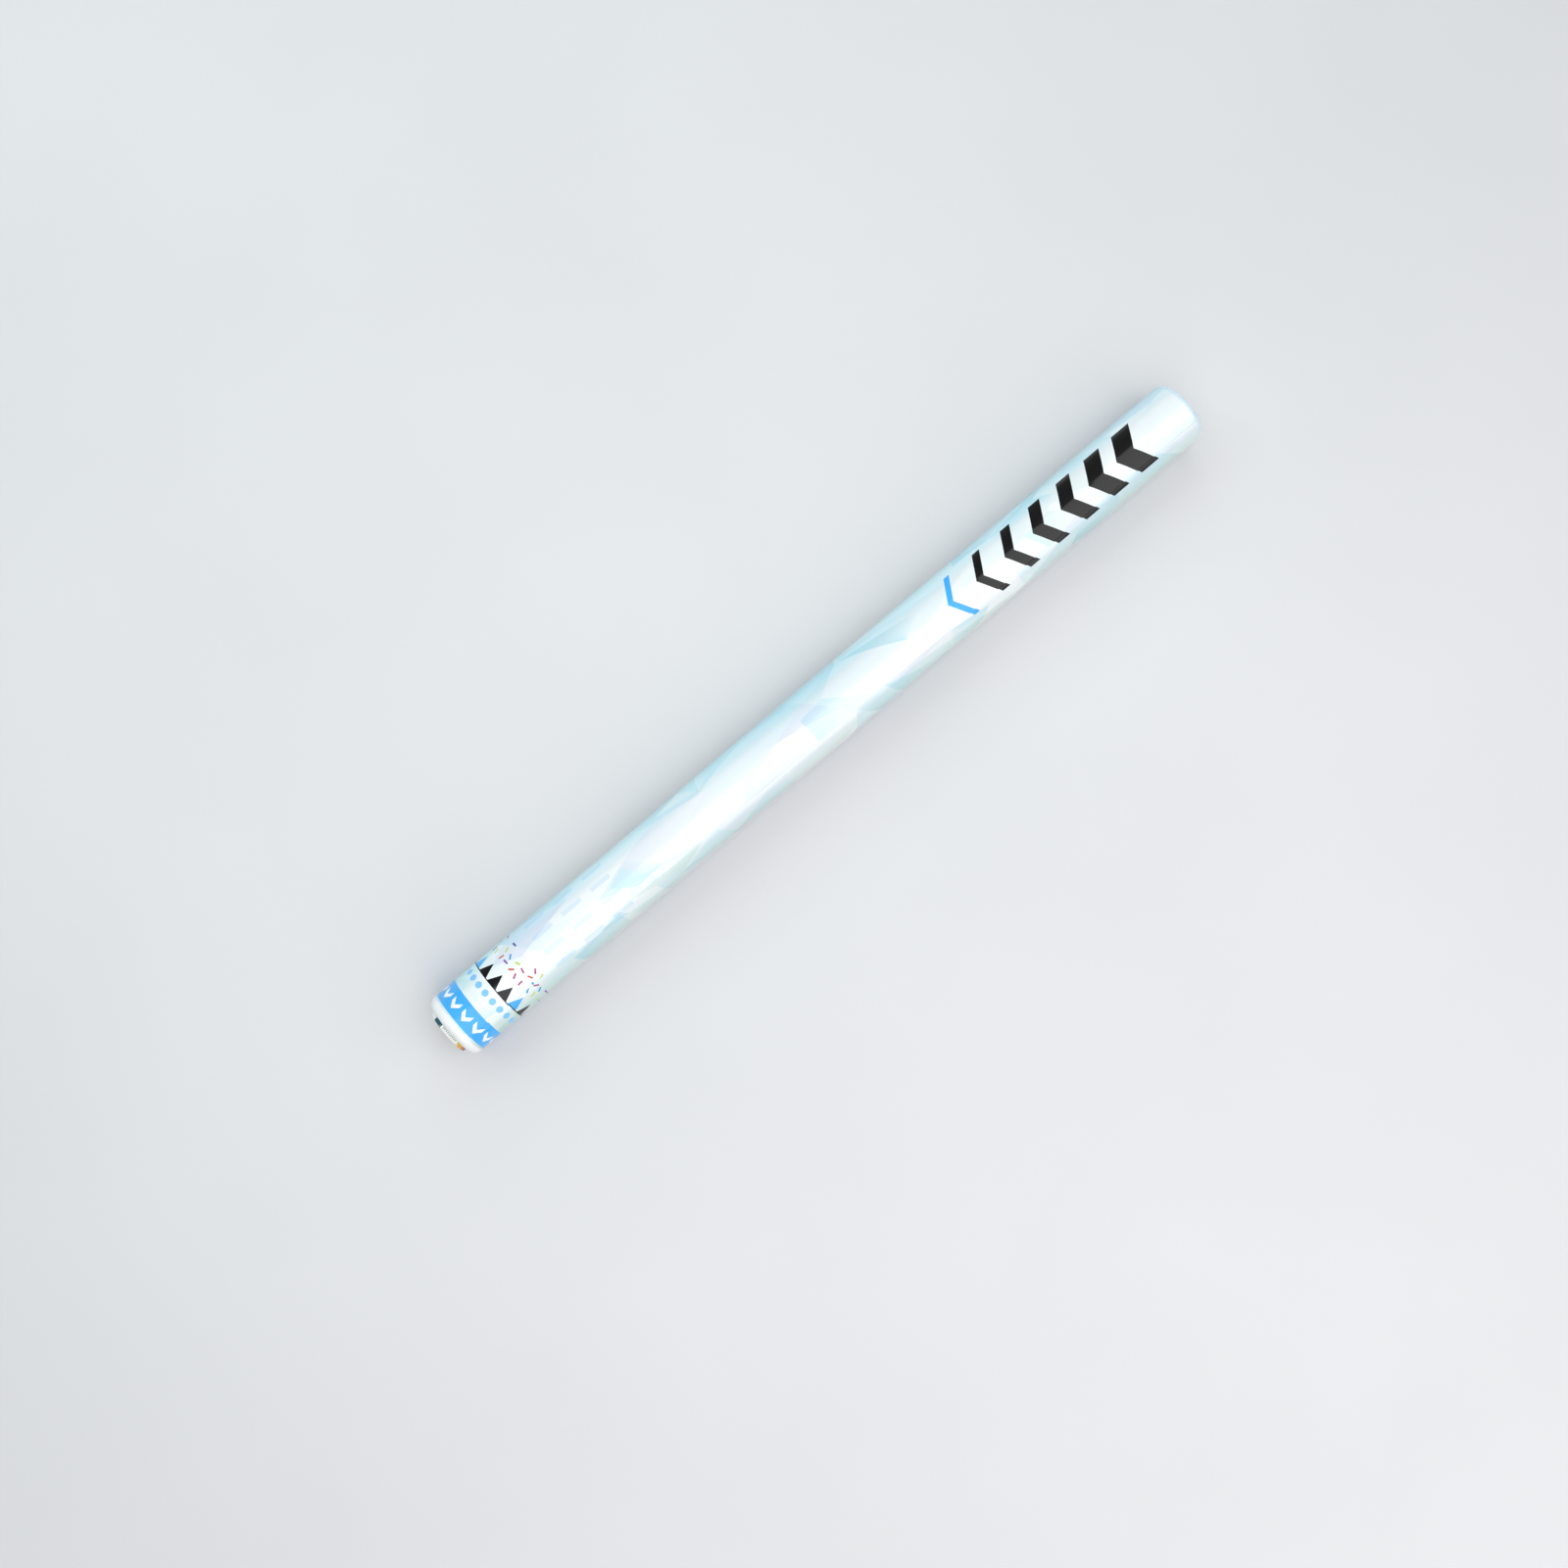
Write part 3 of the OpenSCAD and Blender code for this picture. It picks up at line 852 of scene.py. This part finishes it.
stageLook = {
    "surface": {"Roughness": 0.85, "Emission Color": (1, 1, 1, 1)},
    "floor": 6, "floorTone": flat(219, 219, 221), "floorShade": flat(216, 216, 218),
    "mottle": (6, 3), "mottleRange": (0.35, 0.65),
    "farGlow": (  # metres away, strength: the far floor stays as pale as the near one
        (0.35, 0), (0.5, 0.03), (0.65, 0.1), (0.8, 0.212), (0.95, 0.36),
        (1.1, 0.475), (1.3, 0.555), (1.5, 0.585), (2, 0.598), (3, 0.602)),
    "world": 0.2, "backdrop": 0.75,
    "lamps": (  # name, place, size, watts, tint, seen in gloss
        ("keyBox", (0, 0.32, 0.52), (1.16, 1.16), 5, (1, 1, 1), True),
        ("coolCard", (0, -0.62, 0.6), (1.4, 0.6), 4.4, (0.86, 0.98, 1), False),
        ("fillCloth", (0, 0, 1.5), (1.6, 1.6), 5.2, (1, 1, 1), False)),
    "lampAim": (0, 0, 0.0127), "lampUp": (0, 0.1, 1),
}
cameraView = {"place": (0.0945, 0, 0.658), "aim": (0.0283, 0.0104, 0.0127), "imageUp": (-0.6494, -0.7604, 0),
              "lens": 40.5, "sensor": 36, "nearest": 0.01}


def facing(place, aim, up):  # matrix that looks from place to aim
    back = (Vector(place) - Vector(aim)).normalized()
    right = Vector(up).cross(back).normalized()
    turn = Matrix((right, back.cross(right), back)).transposed().to_4x4()
    return Matrix.Translation(place) @ turn


def makeFloor():
    look = stageLook
    half = look["floor"] / 2
    mesh = bpy.data.meshes.new("floor")
    corners = [(-half, -half, 0), (half, -half, 0), (half, half, 0), (-half, half, 0)]
    mesh.from_pydata(corners, [], [(0, 1, 2, 3)])
    floor = newObject("floor", mesh)
    material, tree, shader = newMaterial("paleFloor", look["surface"])
    place = objectPlace(tree)
    low, high = look["mottleRange"]
    mottle = grain(tree, place, *look["mottle"])
    tone = steps(tree, mottle, [(low, look["floorShade"]), (high, look["floorTone"])], "LINEAR")
    away = calc(tree, "DIVIDE", vectorCalc(tree, "LENGTH", place), half)
    stops = [(far / half, (strength, strength, strength, 1)) for far, strength in look["farGlow"]]
    glow = steps(tree, away, stops, "CARDINAL")
    feed(tree, shader, {"Base Color": tone, "Emission Strength": glow})
    mesh.materials.append(material)


def makeLight():
    look = stageLook
    world = bpy.data.worlds.new("studio")
    world.use_nodes = True
    tree = world.node_tree
    shader = tree.nodes["Background"]
    shader.inputs["Color"].default_value = (1, 1, 1, 1)
    seen = nodeIn(tree, "ShaderNodeLightPath").outputs["Is Camera Ray"]  # paler as a backdrop than as a light
    strength = calc(tree, "MULTIPLY_ADD", seen, look["backdrop"] - look["world"], look["world"])
    feed(tree, shader, {"Strength": strength})
    bpy.context.scene.world = world
    for name, place, (width, height), watts, tint, inGloss in look["lamps"]:
        light = bpy.data.lights.new(name, "AREA")
        light.shape = "RECTANGLE"
        light.size, light.size_y = width, height
        light.energy = watts
        light.color = tint
        lamp = newObject(name, light)
        lamp.matrix_world = facing(place, look["lampAim"], look["lampUp"])
        lamp.visible_camera = False
        lamp.visible_glossy = inGloss


def makeCamera():
    view = cameraView
    camera = bpy.data.cameras.new("camera")
    camera.lens, camera.sensor_width = view["lens"], view["sensor"]
    camera.clip_start = view["nearest"]
    eye = newObject("camera", camera)
    eye.matrix_world = facing(view["place"], view["aim"], view["imageUp"])
    bpy.context.scene.camera = eye
    bpy.context.scene.view_settings.view_transform = "Standard"


# build

makeFloor()
makeLight()
makeCamera()
print("stage set")
makeFilm()
print("film wrapped")
makeTube()
makeBasePlug()
makeClosurePlug()
makeSeal()
print("tube and plugs made")
tissue = tissueMaterial()
slipTree, slipSockets = sheafTree(tissue)
for stackNumber in range(1, tissueSlips["stacks"] + 1):
    for layerNumber in range(1, tissueSlips["sheaves"] + 1):
        makeSheaf(stackNumber, layerNumber, slipTree, slipSockets, tissue)
print("tissue slips packed")
